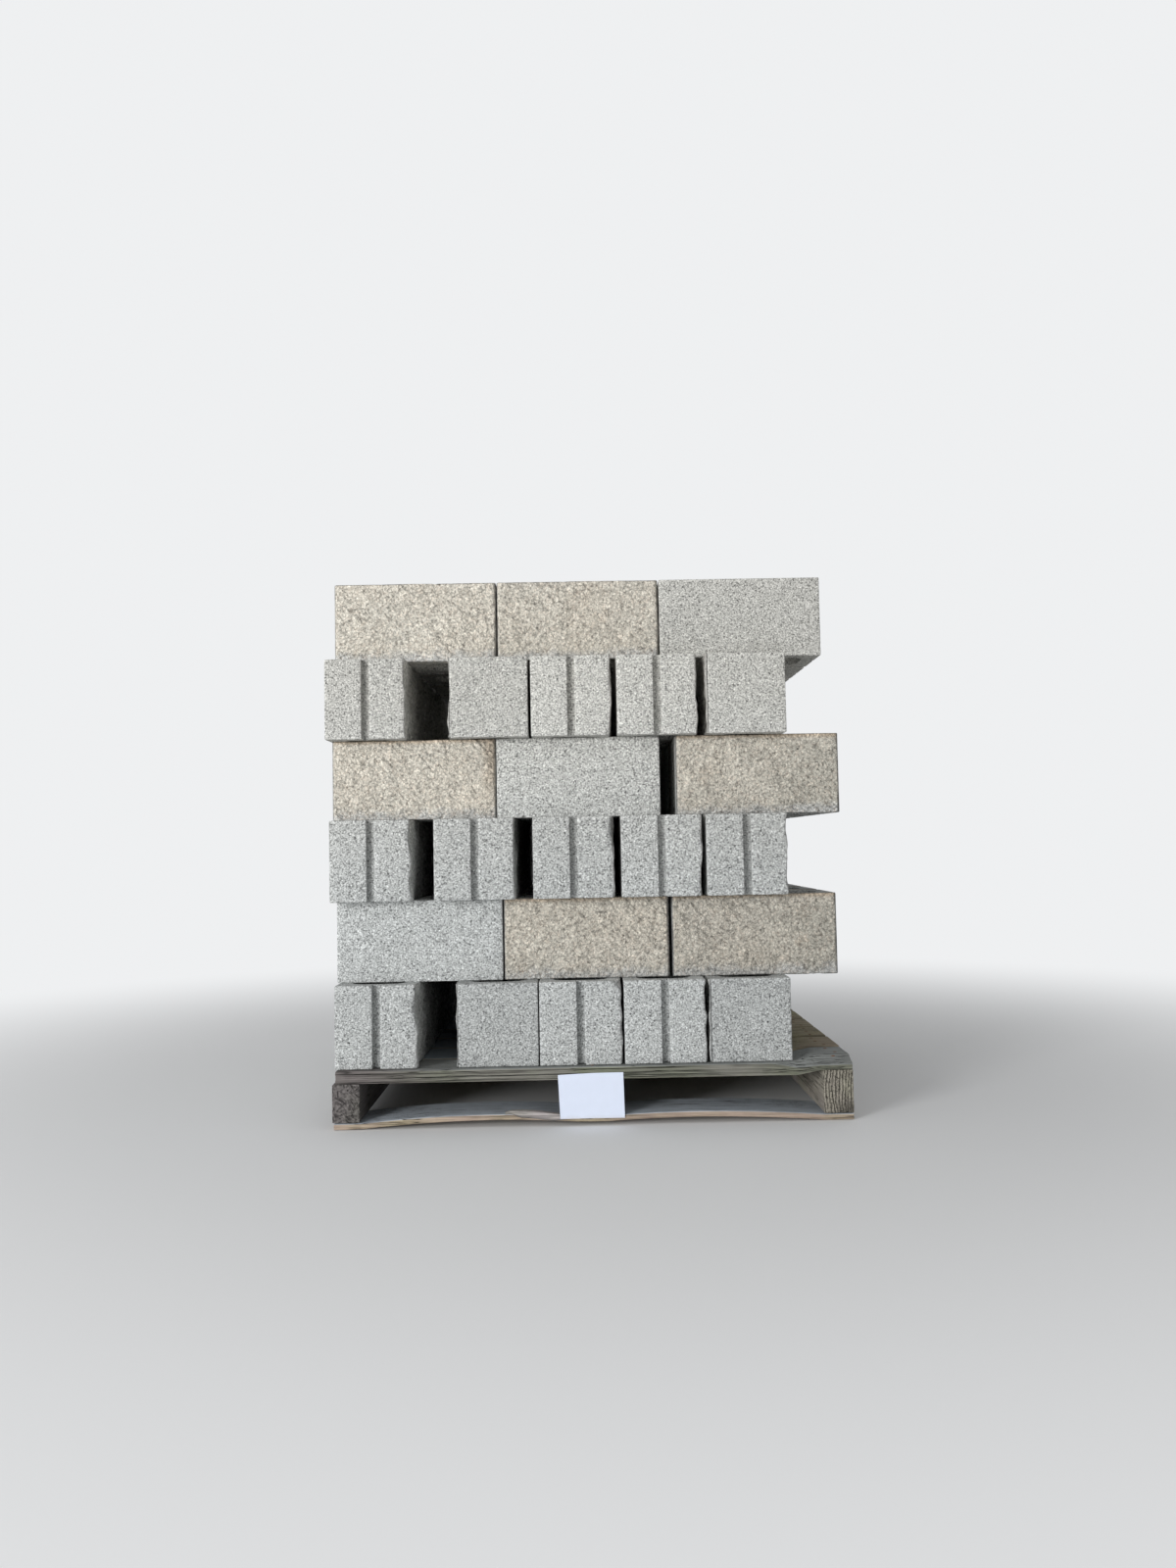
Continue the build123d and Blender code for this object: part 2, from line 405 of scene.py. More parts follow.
def wood_finish(name, colour, grain_axis, pith, ring_pitch=0.0075, upper=None, damp=None):
    """Weathered sawn timber: rings round a pith, fibres along the grain and drying cracks."""
    f = Finish(name)
    across = [axis for axis in range(3) if axis != grain_axis]
    axes = f.split_axes(f.where)

    def along_grain(cross_scale, grain_scale):
        """The position, scaled across the grain and along it."""
        sizes = [cross_scale] * 3
        sizes[grain_axis] = grain_scale
        return f.vector("MULTIPLY", f.where, tuple(sizes))

    fibre = f.noise(along_grain(200.0, 5.0), 1.0, 4.0, 0.65)
    hair = f.noise(along_grain(640.0, 16.0), 1.0, 2.0, 0.6)
    drift = (f.noise(along_grain(9.0, 1.6), 1.0, 2.0) - 0.5) * 0.03
    first = axes[across[0]] - pith[0] + drift
    second = axes[across[1]] - pith[1]
    turn = f.math("SQRT", first * first + second * second) / ring_pitch
    saw = turn - f.math("FLOOR", turn)
    late = f.step(saw, 0.45, 0.92) * f.step(saw, 1.0, 0.94)
    seam = f.noise(along_grain(150.0, 3.2), 1.0, 3.0, 0.55, 0.4)
    patch = f.noise(f.where, 5.5, 3.0)
    crack = f.step(abs(seam - 0.5), 0.017, 0.004) * f.step(patch, 0.46, 0.58)
    crack = f.limit(crack + f.attribute("crack"))
    ridge = f.limit(f.attribute("ridge"))
    stain = f.noise(f.where, 28.0, 4.0, 0.6)
    # Painted highlight: the ridge number makes raised ridges lighter.
    light = (1.0 + (fibre - 0.5) * 1.0 + (hair - 0.5) * 0.6 - late * 0.22
             + (patch - 0.5) * 0.55 + (stain - 0.5) * 0.4 + ridge * 0.45)
    silver = tuple(min(1.0, part * 1.25 + 0.03) for part in colour)
    moss = tuple(part * factor for part, factor in zip(colour, (0.90, 1.03, 0.80)))
    base = f.mix(f.limit(fibre * 1.7 - 0.55), colour, silver)
    base = f.mix(f.limit(patch * 2.4 - 1.0), base, moss)
    if upper is not None:
        base = f.mix(f.limit(f.attribute("upper")), base, upper)
    if damp is not None:
        base = f.mix(f.limit(f.attribute("damp")), base, damp)
    base = f.shade(base, light)
    base = f.mix(crack, base, tuple(part * 0.10 for part in colour))
    height = fibre * 0.0011 + hair * 0.0005 - late * 0.0004 - crack * 0.0020
    return f.surface(base, 0.86, height, 0.8, specular=0.2)


def rust_finish(colour):
    """Rusted nail heads."""
    bright_rust = (0.20, 0.085, 0.035)
    f = Finish("rusted_nail")
    cloud = f.noise(f.where, 420.0, 4.0, 0.6)
    tint = f.mix(f.limit(cloud * 2.2 - 0.7), colour, bright_rust)
    return f.surface(tint, 0.75, cloud * 0.0006, 0.8, metallic=0.15)


def paper_finish(colour):
    """Plain card, a little uneven, with a dusty lower edge."""
    dust, dust_top, dust_foot = (0.55, 0.50, 0.44), 0.026, 0.016
    f = Finish("bare_card_stock")
    z = f.split_axes(f.where)[2]
    cloud = f.noise(f.where, 38.0, 4.0, 0.6)
    pulp = f.noise(f.where, 900.0, 2.0)
    light = 1.0 + (cloud - 0.5) * 0.07 + (pulp - 0.5) * 0.05
    dusty = f.step(z + (cloud - 0.5) * 0.012, dust_top, dust_foot) * 0.22
    tint = f.shade(f.mix(dusty, colour, dust), light)
    return f.surface(tint, 0.62, pulp * 0.0001 + cloud * 0.0004, 0.4, specular=0.3)


# Meshes

def finished(name, points, faces, material, slot, *nodes):
    """A finished piece from its points and faces, standing for its CAD nodes."""
    mesh = bpy.data.meshes.new(name)
    mesh.from_pydata([tuple(point) for point in points], [], faces)
    mesh.update()
    return finished_mesh(name, mesh, material, slot, *nodes)


def finished_mesh(name, mesh, material, slot, *nodes):
    """A finished piece from its mesh, standing for its CAD nodes."""
    mesh.name = name
    if material is not None:
        mesh.materials.clear()
        mesh.materials.append(material)
    piece = loose_object(name, mesh)
    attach(piece, BODY)
    if nodes:
        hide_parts(*nodes)
    return piece


def add_numbers(mesh, name, values):
    """A named number for each point of a mesh."""
    made = mesh.attributes.new(name, "FLOAT", "POINT")
    made.data.foreach_set("value", np.asarray(values, np.float32))


def smooth(value, low, high):
    """0 below low and 1 above high, smooth in between."""
    share = np.clip((value - low) / (high - low), 0, 1)
    return share * share * (3 - 2 * share)


def node_corners(node):
    """The corners of a CAD node's mesh as an array."""
    return np.array([tuple(corner.co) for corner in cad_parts[node].data.vertices])


def node_size(node):
    """The lowest and highest corner of a CAD node as arrays."""
    low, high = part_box(node)
    return np.array(low), np.array(high)


def between(start, end, spacing):
    """Evenly spaced points on a line, without its two ends."""
    start, end = np.array(start), np.array(end)
    count = max(1, round(float(np.linalg.norm(end - start)) / spacing))
    return [tuple(start + (end - start) * i / count) for i in range(1, count)]


def quarter(centre, radius, first, steps):
    """Points round a quarter of a circle, anticlockwise from the first angle in degrees."""
    angles = [math.radians(first + 90 * i / steps) for i in range(steps + 1)]
    return [(centre[0] + radius * math.cos(a), centre[1] + radius * math.sin(a)) for a in angles]


def closed_outline(arcs):
    """An outline from its corner arcs, each with the spacing of the straight that follows it."""
    points = []
    for (arc, spacing), (after, _) in zip(arcs, arcs[1:] + arcs[:1]):
        points += arc + between(arc[-1], after[0], spacing)
    return np.array(points)


def outward(points):
    """The outward direction at each point of an anticlockwise outline."""
    tangent = np.roll(points, -1, 0) - np.roll(points, 1, 0)
    tangent /= np.linalg.norm(tangent, axis=1)[:, None]
    return np.stack([tangent[:, 1], -tangent[:, 0]], 1)


def block_outline(half_length, half_width, blocks, spacing, split_spacing):
    """The block seen from above: its groove is at +X and its split face at +Y."""
    crisp, soft, lip, near = 0.0025, blocks.split_round, 0.0016, 0.0008
    crisp_steps, soft_steps, lip_steps = 2, 4, 2
    groove = blocks.groove_width / 2
    floor = half_length - blocks.groove_depth
    return closed_outline([
        (quarter((half_length - crisp, crisp - half_width), crisp, -90, crisp_steps), spacing),
        (quarter((half_length - lip, -groove - lip), lip, 0, lip_steps), spacing),
        ([(floor + near, -groove), (floor, -groove), (floor, near - groove)], spacing),
        ([(floor, groove - near), (floor, groove), (floor + near, groove)], spacing),
        (quarter((half_length - lip, groove + lip), lip, -90, lip_steps), spacing),
        (quarter((half_length - soft, half_width - soft), soft, 0, soft_steps), split_spacing),
        (quarter((soft - half_length, half_width - soft), soft, 90, soft_steps), spacing),
        (quarter((crisp - half_length, crisp - half_width), crisp, 180, crisp_steps), spacing),
    ])


def core_outline(centre, half_length, half_width, radius):
    """One core seen from above, clockwise, because it faces inwards."""
    steps, spacing = 4, 0.06
    arcs = []
    for first, sx, sy in ((0, 1, 1), (90, -1, 1), (180, -1, -1), (270, 1, -1)):
        middle = (centre + sx * (half_length - radius), sy * (half_width - radius))
        arcs.append((quarter(middle, radius, first, steps), spacing))
    return closed_outline(arcs)[::-1]


def block_mesh(name, size, blocks, spacings):
    """One block with its base at the origin, with a split, arris and groove number on its points."""
    spacing, split_spacing, level_spacing = spacings
    half_length, half_width, height = size[0] / 2, size[1] / 2, size[2]
    wear = ((0.0, 0.0022), (0.0008, 0.0007), (0.0025, 0.0))     # level and inset of the worn arris
    mouth, arris_reach, groove_fade = 0.0016, 0.009, 1.3
    middle = [level[0] for level in between((wear[-1][0],), (height - wear[-1][0],), level_spacing)]
    levels = list(wear) + [(level, 0.0) for level in middle]
    levels += [(height - level, inset) for level, inset in reversed(wear)]

    outline = block_outline(half_length, half_width, blocks, spacing, split_spacing)
    facing = outward(outline)
    core_half = (half_length - blocks.end_web - blocks.centre_web / 2) / 2
    core_middle = blocks.centre_web / 2 + core_half
    core_levels = (0.0, 0.002, height * 0.3, height * 0.65, height - 0.002, height)

    bm = bmesh.new()
    split_layer = bm.verts.layers.float.new("split")
    arris_layer = bm.verts.layers.float.new("arris")
    groove_layer = bm.verts.layers.float.new("groove")

    def ring(points, level):
        """The corners of an outline at one level."""
        return [bm.verts.new((x, y, level)) for x, y in points]

    def wall(rings):
        """Faces between each ring and the next."""
        for low, high in zip(rings, rings[1:]):
            for i in range(len(low)):
                after = (i + 1) % len(low)
                bm.faces.new((low[i], low[after], high[after], high[i])).smooth = True

    outer = [ring(outline - facing * inset, level) for level, inset in levels]
    wall(outer)
    ends = [[outer[0]], [outer[-1]]]
    for side in (-1, 1):
        rings = []
        for level in core_levels:
            taper = (height - level) * math.tan(blocks.core_draft)
            flare = mouth if level in (0.0, height) else 0.0
            rings.append(ring(core_outline(
                side * core_middle, core_half - taper + flare,
                half_width - blocks.shell - taper + flare, blocks.core_round), level))
        wall(rings)
        ends[0].append(rings[0])
        ends[1].append(rings[-1])

    soft = blocks.split_round
    for rings in outer:
        for vertex in rings:
            x, y, z = vertex.co
            vertex[split_layer] = min(1.0, max(0.0, (y - half_width + soft) / soft))
            gaps = sorted((half_length - abs(x), half_width - abs(y), min(z, height - z)))
            to_arris = max(0.0, gaps[1])
            if x > half_length - blocks.groove_depth / 2:
                to_arris = min(to_arris, abs(abs(y) - blocks.groove_width / 2))
            vertex[arris_layer] = max(0.0, 1.0 - to_arris / arris_reach)
            # The groove number rises towards the groove's bottom and sets how far the painted groove shade
            # darkens it.
            if abs(y) < blocks.groove_width / 2 + MERGE and x > 0:
                vertex[groove_layer] = min(1.0, (half_length - x) / blocks.groove_depth * groove_fade)

    for loops in ends:
        edges = []
        for loop in loops:
            for i, vertex in enumerate(loop):
                edges.append(bm.edges.get((vertex, loop[(i + 1) % len(loop)])))
        made = bmesh.ops.triangle_fill(bm, use_beauty=True, edges=edges)
        for part in made["geom"]:
            if isinstance(part, bmesh.types.BMFace):
                part.smooth = False
    bmesh.ops.recalc_face_normals(bm, faces=bm.faces)
    mesh = bpy.data.meshes.new(name)
    bm.to_mesh(mesh)
    bm.free()
    return mesh


def separate_solids(node):
    """The corners of each separate solid in a CAD node."""
    bm = bmesh.new()
    bm.from_mesh(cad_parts[node].data)
    bmesh.ops.remove_doubles(bm, verts=bm.verts, dist=MERGE)
    left = set(bm.verts)
    solids = []
    while left:
        waiting = [left.pop()]
        found = []
        while waiting:
            vertex = waiting.pop()
            found.append(tuple(vertex.co))
            for edge in vertex.link_edges:
                other = edge.other_vert(vertex)
                if other in left:
                    left.remove(other)
                    waiting.append(other)
        solids.append(np.array(found))
    bm.free()
    return solids


def block_places(node, groove_width):
    """The foot, the turn and the size of each block in a course, ordered by place."""
    places = []
    for corners in separate_solids(node):
        low, high = corners.min(0), corners.max(0)
        centre = (low + high) / 2
        size = high - low
        along = int(size[1] > size[0])
        across = 1 - along
        at_groove = corners[abs(corners[:, across] - centre[across]) < groove_width]
        to_groove = np.sign((at_groove[:, along] - centre[along]).mean())
        turn = math.atan2(to_groove, 0.0) if along else math.atan2(0.0, to_groove)
        foot = (float(centre[0]), float(centre[1]), float(low[2]))
        places.append((foot, turn, (float(size[along]), float(size[across]), float(size[2]))))
    return sorted(places, key=lambda place: (round(place[0][1], 3), place[0][0]))


def laying_tree():
    """Geometry Nodes: sets a block on each point, then roughens split faces and chips arrises."""
    g, given = new_tree("Lay and weather blocks", "Blocks", {
        "Points": "Geometry", "Block": "Object", "Hidden block": "Object", "Relief": "Float", "Grit": "Float",
        "Chip depth": "Float", "Broken corner": "Vector", "Broken depth": "Float", "Concrete": "Material"})

    def number(name):
        """A named number on the points."""
        return g.node("GeometryNodeInputNamedAttribute", {"data_type": "FLOAT"}, {"Name": name})

    turn, hidden = number("turn"), number("hidden")
    rotation = g.node("FunctionNodeEulerToRotation", {}, {0: g.triple(0.0, 0.0, turn)})
    join = g.tree.nodes.new("GeometryNodeJoinGeometry")
    for block, chosen in ((given["Block"], 1.0 - hidden), (given["Hidden block"], hidden)):
        shape = g.node("GeometryNodeObjectInfo", {}, {"Object": block, "As Instance": True}, "Geometry")
        laid = g.node("GeometryNodeInstanceOnPoints", {}, {
            "Points": given["Points"], "Selection": chosen, "Instance": shape, "Rotation": rotation})
        g.tree.links.new(laid.socket, join.inputs[0])
    real = g.node("GeometryNodeRealizeInstances", {}, {"Geometry": Wire(g, join.outputs[0])})
    where = g.node("GeometryNodeInputPosition")
    facing = g.node("GeometryNodeInputNormal")

    def wave(scale, contrast):
        """Noise from 0 to 1 with more contrast."""
        return g.limit((g.noise(where, scale, 2.0, 0.5) - 0.5) * contrast + 0.5)

    # Split faces: broad facets, waves and small lumps along the way the face looks
    lumps = (g.noise(where, 62.0, 2.0, 0.6) - 0.5) * 2.0
    facets = abs(g.noise(where, 8.5, 2.0, 0.4) - 0.5) * 5.0
    waves = facets * 0.62 + wave(21.0, 2.6) * 0.22 + wave(44.0, 2.6) * 0.16
    wavy = (given["Grit"] * (lumps - 0.5) - given["Relief"] * (waves - 0.22)) * number("split")
    split_way = g.triple(g.math("SINE", turn) * -1.0, g.math("COSINE", turn), 0.0)

    # Arrises: coarse and fine nicks
    nicks = g.limit((g.noise(where, 75.0, 3.0, 0.6) - 0.60) * 7.0)
    nicks = nicks + g.limit((g.noise(where, 160.0, 2.0) - 0.62) * 6.0) * 0.4
    chips = number("arris") * nicks * given["Chip depth"]

    # The broken corner: a rough slanted cut that leaves the next block whole
    corner_way = tuple(part / math.sqrt(3) for part in (1, -1, 1))
    from_corner = g.vector("SUBTRACT", where, given["Broken corner"])
    past = g.vector("DOT_PRODUCT", from_corner, corner_way, output="Value") + given["Broken depth"]
    past = g.math("MAXIMUM", past + lumps * 0.002, 0.0) * g.step(g.split_axes(from_corner)[0], 0.002, 0.001)
    past = past * g.step(given["Broken depth"], 0.0, 0.001)

    offset = g.vector("ADD", g.scaled(split_way, wavy), g.scaled(facing, chips * -1.0))
    offset = g.vector("ADD", offset, g.scaled(corner_way, past * -1.0))
    moved = g.node("GeometryNodeSetPosition", {}, {"Geometry": real, "Offset": offset})
    coated = g.node("GeometryNodeSetMaterial", {}, {"Geometry": moved, "Material": given["Concrete"]})
    g.node("NodeGroupOutput", {}, {0: coated})
    return g.tree


def run_tree(carrier, tree, values):
    """The plain mesh that a Geometry Nodes tree makes of an object."""
    modifier = carrier.modifiers.new(tree.name, "NODES")
    modifier.node_group = tree
    for item in tree.interface.items_tree:
        if item.item_type == "SOCKET" and item.in_out == "INPUT" and item.name in values:
            modifier[item.identifier] = values[item.name]
    bpy.context.view_layer.update()
    evaluated = carrier.evaluated_get(bpy.context.evaluated_depsgraph_get())
    mesh = bpy.data.meshes.new_from_object(evaluated)
    carrier.modifiers.clear()
    return mesh


def loose_object(name, data):
    """An object in the scene that isn't a piece."""
    made = bpy.data.objects.new(name, data)
    bpy.context.scene.collection.objects.link(made)
    return made


def drop(*objects):
    """Deletes helper objects."""
    for made in objects:
        bpy.data.objects.remove(made)


class PALLET_OT_blocks(bpy.types.Operator):
    """Lay the six courses of blocks"""

    bl_idname = "pallet.blocks"
    bl_label = "Lay the Blocks"

    def execute(self, context):
        blocks = context.scene.block_pallet.blocks
        seen_spacings, hidden_spacings = (0.0115, 0.0075, 0.0075), (0.05, 0.022, 0.022)
        lowest_tone, painted_top_light_rise, tone_spread = 0.927, 0.032, 0.08
        end_tan = 0.12
        buried = 0.1
        first_course = block_places(COURSES[0], blocks.groove_width)
        size = first_course[0][2]
        broken_foot = first_course[2][0]
        block = loose_object("block", block_mesh("block", size, blocks, seen_spacings))
        hidden = loose_object("hidden_block", block_mesh("hidden_block", size, blocks, hidden_spacings))
        values = {
            "Block": block, "Hidden block": hidden, "Relief": blocks.relief, "Grit": blocks.grit,
            "Chip depth": blocks.chip, "Concrete": concrete_finish(blocks), "Broken corner": (
                broken_foot[0] + size[1] / 2, broken_foot[1] - size[0] / 2, broken_foot[2] + size[2])}
        tree = laying_tree()
        draw = np.random.default_rng(blocks.seed)
        for node in COURSES:
            places = block_places(node, blocks.groove_width)
            feet = np.array([foot for foot, _, _ in places])
            turns = [turn for _, turn, _ in places]
            low, high = feet.min(0), feet.max(0)
            inner = (feet[:, :2] > low[:2] + buried).all(1) & (feet[:, :2] < high[:2] - buried).all(1)
            course = (feet[:, 2] - DECK_TOP) / COURSE_HEIGHT
            points = bpy.data.meshes.new(node)
            points.from_pydata([tuple(foot) for foot in feet], [], [])
            add_numbers(points, "turn", turns)
            add_numbers(points, "hidden", inner & (not node.startswith("course_6")))
            # Each block's tone: a painted rise in light from course to course, brighter towards the top of
            # the load, plus a random tone of its own.
            add_numbers(points, "tone", lowest_tone + painted_top_light_rise * course
                        + draw.uniform(-tone_spread, tone_spread, len(places)))
            add_numbers(points, "tan", [1.0 if turn % math.pi < 1e-3 else end_tan for turn in turns])
            carrier = loose_object(node + "_points", points)
            values["Broken depth"] = blocks.corner_chip if node == COURSES[0] else 0.0
            finished_mesh(node + "_weathered", run_tree(carrier, tree, values), None, "block_concrete", node)
            drop(carrier)
        drop(block, hidden)
        return {"FINISHED"}


# Timber

def spread(low, high, step, rounding):
    """Coordinates from low to high with one close to each end, for a worn arris."""
    count = max(1, round((high - low - 2 * rounding) / step))
    return np.concatenate([[low], np.linspace(low + rounding, high - rounding, count + 1), [high]])


def lattice(xs, ys, zs):
    """The surface of a box as quads on the given coordinates, with how far each point is out."""
    counts = (len(xs), len(ys), len(zs))
    index, points, sides, faces = {}, [], [], []

    def corner(cell):
        """The number of a point, which is made when it is first met."""
        if cell not in index:
            index[cell] = len(points)
            points.append((xs[cell[0]], ys[cell[1]], zs[cell[2]]))
            sides.append([(place == count - 1) - (place == 0) for place, count in zip(cell, counts)])
        return index[cell]

    for axis in range(3):
        a, b = (axis + 1) % 3, (axis + 2) % 3
        for side in (0, counts[axis] - 1):
            for u in range(counts[a] - 1):
                for v in range(counts[b] - 1):
                    quad = []
                    for du, dv in ((0, 0), (1, 0), (1, 1), (0, 1)):
                        cell = [0, 0, 0]
                        cell[axis] = side
                        cell[a] = u + du
                        cell[b] = v + dv
                        quad.append(corner(tuple(cell)))
                    faces.append(quad if side else quad[::-1])
    return np.array(points), np.array(sides, float), faces


def worn_box(low, high, steps, rounding):
    """A box lattice whose arrises are pulled in."""
    pulled_in = 0.3
    points, sides, faces = lattice(*(spread(low[i], high[i], steps[i], rounding) for i in range(3)))
    arris = (abs(sides).sum(1) > 1)[:, None]
    points -= sides * arris * rounding * pulled_in
    return points, sides, faces


def edge_curve(node, upper):
    """The height of a board's upper or lower face along X, read from its CAD node."""
    corners = node_corners(node)
    halfway = (corners[:, 2].min() + corners[:, 2].max()) / 2
    chosen = corners[(corners[:, 2] > halfway) == upper]
    order = np.argsort(chosen[:, 0])
    return chosen[order, 0], chosen[order, 2]


def follow_board(points, node, low, high):
    """Bends a board's points as its CAD node is bent, given the straight board's two levels."""
    share = (points[:, 2] - low) / (high - low)
    under = np.interp(points[:, 0], *edge_curve(node, False))
    over = np.interp(points[:, 0], *edge_curve(node, True))
    points[:, 2] = under + (over - under) * share
    return points


def ripple(points, sizes, seed):
    """Smooth noise from -1 to 1 at each point, stretched by a size along each axis."""
    shift = Vector((seed * 7.31, seed * 3.77, seed * 5.19))
    stretched = points / np.array(sizes)
    return np.array([noise.noise(Vector(tuple(point)) + shift) for point in stretched])


def weather(points, sides, grain_axis, depth, seed):
    """Raised grain and shallow hollows, only inwards."""
    fine_across, fine_along, broad_across, broad_along = 0.006, 0.16, 0.05, 0.30
    grain, waves = [fine_across] * 3, [broad_across] * 3
    grain[grain_axis], waves[grain_axis] = fine_along, broad_along
    hollow = 0.5 + 0.5 * ripple(points, grain, seed)
    swell = 0.5 + 0.5 * ripple(points, waves, seed + 1)
    length = np.maximum(np.linalg.norm(sides, axis=1), 1.0)[:, None]
    return points - sides / length * (hollow * depth + swell * depth)[:, None]


def worn_ends(points, sides, grain_axis, depth, seed):
    """Ragged sawn ends: each end is eaten back by an uneven amount."""
    tear = 0.012
    ragged = 0.5 + 0.5 * ripple(points, (tear, tear, tear), seed)
    points[:, grain_axis] -= sides[:, grain_axis] * ragged * depth
    return points


def straight_box(node):
    """A board's box without its bend: its height is that of its left end."""
    low, high = node_size(node)
    corners = node_corners(node)
    left = corners[corners[:, 0] < low[0] + MERGE]
    low[2], high[2] = left[:, 2].min(), left[:, 2].max()
    return low, high


def raw_board(node, steps, trims, wood, seed, end_wear):
    """A board along X that isn't bent yet: its box, its plain points, and its weathered points."""
    low, high = straight_box(node)
    low[0] += trims[0]
    high[0] -= trims[1]
    straight, sides, faces = worn_box(low, high, steps, wood.rounding)
    points = weather(straight, sides, 0, wood.fibre, seed)
    return low, high, straight, worn_ends(points, sides, 0, end_wear, seed + 2), sides, faces


def board(node, steps, wood, material, seed, trims=(0.0, 0.0)):
    """A weathered board that runs along X and follows its CAD node."""
    end_wear = 0.003
    load_end, open_deck = 0.43, 0.50
    low, high, _, points, sides, faces = raw_board(node, steps, trims, wood, seed, end_wear)
    points = follow_board(points, node, low[2], high[2])
    piece = finished(node + "_weathered", points, faces, material, "pallet_wood", node)
    # Painted shade and light: on the deck boards the tops under the load take the shaded colour, and past the
    # load's end they keep the lit colour.
    painted_sunlit_part = smooth(points[:, 0], load_end, open_deck) if node in DECK_BOARDS else 0.0
    add_numbers(piece.data, "upper", (sides[:, 2] > 0) * (1 - painted_sunlit_part))


def drying_cracks(points, level, cracks, width, wander, seed):
    """How deep each point lies in a crack. A crack has its level, its start, its end and its slope."""
    fade, slow_bend, quick_bend, gap_run = 0.07, 0.07, 0.018, 0.05
    depth = np.zeros(len(points))
    on_line = points * (1, 0, 0)
    for number, (height, start, end, slope) in enumerate(cracks):
        line = height + points[:, 0] * slope + wander * ripple(on_line, (slow_bend, 1, 1), seed + number)
        line += wander * 0.4 * ripple(on_line, (quick_bend, 1, 1), seed + number + 0.5)
        near = np.clip(1.3 - abs(level - line) / width, 0, 1)
        shut = smooth(points[:, 0], start, start + fade) * smooth(-points[:, 0], -end, fade - end)
        open_here = np.clip(0.75 + 0.6 * ripple(on_line, (gap_run, 1, 1), seed + number + 0.3), 0.25, 1)
        depth = np.maximum(depth, near * shut * open_here)
    return depth


def lead_board(wood, material):
    """The front deck board: drying cracks along its edge, and its right end has lost an arris."""
    steps, trims, end_wear, seed = (0.006, 0.006, 0.0014), (0.010, 0.003), 0.004, 21
    edge_cracks = (
        (0.17, -0.62, 0.34, 0.06), (0.30, -0.10, 0.62, -0.08), (0.46, -0.56, 0.20, 0.10),
        (0.55, 0.05, 0.62, -0.05), (0.68, -0.62, -0.12, -0.10), (0.80, -0.36, 0.50, 0.05),
        (0.33, 0.54, 0.62, 0.0))
    crack_width, crack_wander, crack_seed = 0.038, 0.045, 40
    ridge_rows, ridge_depth = 6.2, 0.0009
    wane_start, wane_end, wane_slope = 0.40, 0.53, 0.52
    knot_x, knot_y, knot_length, knot_width = 0.588, 0.016, 0.011, 0.010
    damp_to, dry_from = -0.54, -0.30
    fade_start, fade_end, faded = 0.05, 0.35, 0.85
    low, high, straight, points, sides, faces = raw_board(LEAD_BOARD, steps, trims, wood, seed, end_wear)
    thickness = high[2] - low[2]
    level = (straight[:, 2] - low[2]) / thickness

    front = sides[:, 1] < 0
    crack = drying_cracks(straight, level, edge_cracks, crack_width, crack_wander, crack_seed) * front
    wavy = level * ridge_rows + 0.5 * ripple(straight, (0.20, 1, 1), 33)
    wavy = wavy + 0.25 * ripple(straight, (0.04, 1, 1), 34)
    ridge = (0.5 + 0.5 * np.sin(wavy * 2 * math.pi)) * front * smooth(1 - level, 0.0, 0.15)
    points[:, 1] += (crack * wood.crack + (1 - ridge) * ridge_depth) * front

    lost = wood.wane * smooth(straight[:, 0], wane_start, wane_end)
    lost *= 1 + 0.15 * ripple(straight, (0.05, 0.5, 0.5), 31)
    lost = np.clip(lost - wane_slope * (straight[:, 1] - low[1]), 0, None)
    points[:, 2] = low[2] + (points[:, 2] - low[2]) * (thickness - lost) / thickness
    knot = np.hypot((straight[:, 0] - knot_x) / knot_length, (straight[:, 1] - low[1] - knot_y) / knot_width)
    crack = np.maximum(crack, np.clip(1.3 - knot, 0, 1) * (sides[:, 2] > 0))
    points = follow_board(points, LEAD_BOARD, low[2], high[2])
    piece = finished(LEAD_BOARD + "_weathered", points, faces, material, "pallet_wood", LEAD_BOARD)
    add_numbers(piece.data, "crack", crack * (1 - faded * smooth(straight[:, 0], fade_start, fade_end)))
    # Painted highlight on the raised ridges of the front edge.
    add_numbers(piece.data, "ridge", ridge * (1 - crack) * 0.8)
    add_numbers(piece.data, "damp", 1 - smooth(straight[:, 0] + 0.03 * level, damp_to, dry_from))
    add_numbers(piece.data, "upper", sides[:, 2] > 0)


class PALLET_OT_deck(bpy.types.Operator):
    """Weather the deck boards"""

    bl_idname = "pallet.deck"
    bl_label = "Weather the Deck"

    def execute(self, context):
        wood = context.scene.block_pallet.wood
        lead_board(wood, wood_finish(
            "lead_board_grey_green", wood.lead_colour, 0, (-0.9, 0.02), upper=wood.lead_top_colour,
            damp=wood.brown_colour))
        plain = wood_finish(
            "deck_board_tan_grey", wood.deck_colour, 0, (0.0, -0.35), upper=wood.deck_top_shade_colour)
        steps = (0.016, 0.012, 0.008)
        for seed, node in enumerate(DECK_BOARDS[1:], start=1):
            board(node, steps, wood, plain, 10 * seed)
        return {"FINISHED"}


class PALLET_OT_bottom(bpy.types.Operator):
    """Weather the bottom boards"""

    bl_idname = "pallet.bottom"
    bl_label = "Weather the Bottom Boards"

    def execute(self, context):
        wood = context.scene.block_pallet.wood
        tan = wood_finish(
            "bottom_board_tan", wood.bottom_colour, 0, (0.1, -0.30), upper=wood.bottom_top_grey_and_shade_blue)
        seen_steps, seen_trims, hidden_steps = (0.007, 0.010, 0.0025), (0.006, 0.003), (0.016, 0.014, 0.006)
        board("bottom_board_front", seen_steps, wood, tan, 51, seen_trims)
        for seed, node in ((53, "bottom_board_middle"), (57, "bottom_board_back")):
            board(node, hidden_steps, wood, tan, seed)
        return {"FINISHED"}


